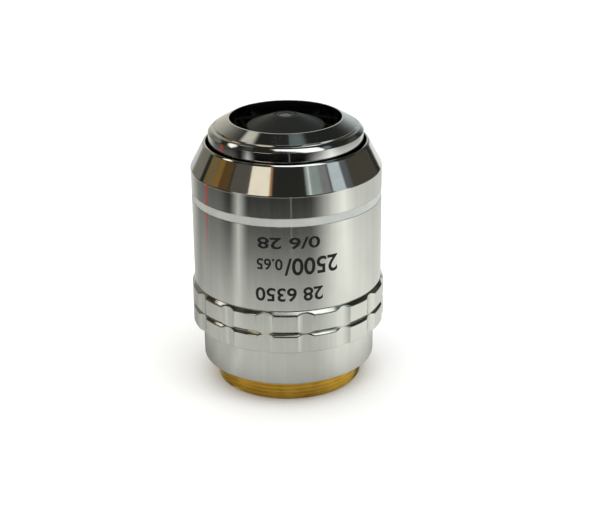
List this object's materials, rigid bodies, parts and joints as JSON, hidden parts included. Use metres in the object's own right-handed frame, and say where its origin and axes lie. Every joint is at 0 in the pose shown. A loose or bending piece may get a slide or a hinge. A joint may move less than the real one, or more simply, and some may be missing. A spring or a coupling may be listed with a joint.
{
  "type": "microscope objective",
  "caption": "Reflected-light microscope objective with a polished sprung nose, a ring of light round a black front cell, a fluted grip ring and a brass mounting thread.",
  "frame": {"origin": "centre of the mounting thread in the plane of the shoulder that seats on the nosepiece", "axes": "+Z runs along the optical axis from the mounting thread to the front lens; the engraved side faces -Y and +X is to its right"},
  "size_m": [0.0342, 0.0342, 0.0483],
  "materials": {
    "satin_chrome": "finely turned satin chrome plate",
    "polished_chrome": "polished chrome plate",
    "brass": "bare brass with a cut thread",
    "band_enamel": "matt enamel filled into a groove",
    "blackened_brass": "matt black",
    "mirror_face": "turned, with a polished inner face",
    "steel": "drawn steel wire and a steel screw",
    "glass": "polished glass with coated faces"
  },
  "bodies": {
    "housing": {"mount_ring": "brass", "lower_sleeve": "satin_chrome", "grip_ring": "satin_chrome", "outer_barrel": "satin_chrome", "colour_band": "band_enamel", "nose_cone": "polished_chrome", "guide_spider": "blackened_brass", "spider_ring": "blackened_brass", "guide_sleeve": "blackened_brass", "guide_screw": "steel", "lock_ring": "blackened_brass", "spring_seat": "blackened_brass", "return_spring": "steel", "stop_ring": "blackened_brass"},
    "nose": {"nose_tube": "blackened_brass", "nose_spider": "blackened_brass", "front_collar": "polished_chrome", "ring_mirror": "mirror_face", "front_cell": "blackened_brass", "front_lens": "glass", "meniscus_lens": "glass", "meniscus_ring": "blackened_brass", "doublet_cell": "blackened_brass", "doublet_crown_lens": "glass", "doublet_flint_lens": "glass", "triplet_cell": "blackened_brass", "triplet_front_lens": "glass", "triplet_middle_lens": "glass", "triplet_rear_lens": "glass", "second_doublet_cell": "blackened_brass", "second_crown_lens": "glass", "second_flint_lens": "glass", "aperture_stop": "blackened_brass", "spacer_tube": "blackened_brass", "rear_cell": "blackened_brass", "rear_flint_lens": "glass", "rear_crown_lens": "glass"}
  },
  "joints": [
    {"name": "nose_slide", "type": "slide", "parent": "housing", "child": "nose", "axis": [0, 0, 1], "range_m": [-0.0022, 0], "stiffness_N_per_m": 400, "springref_m": 0.00375, "deforming": ["return_spring"]}
  ]
}
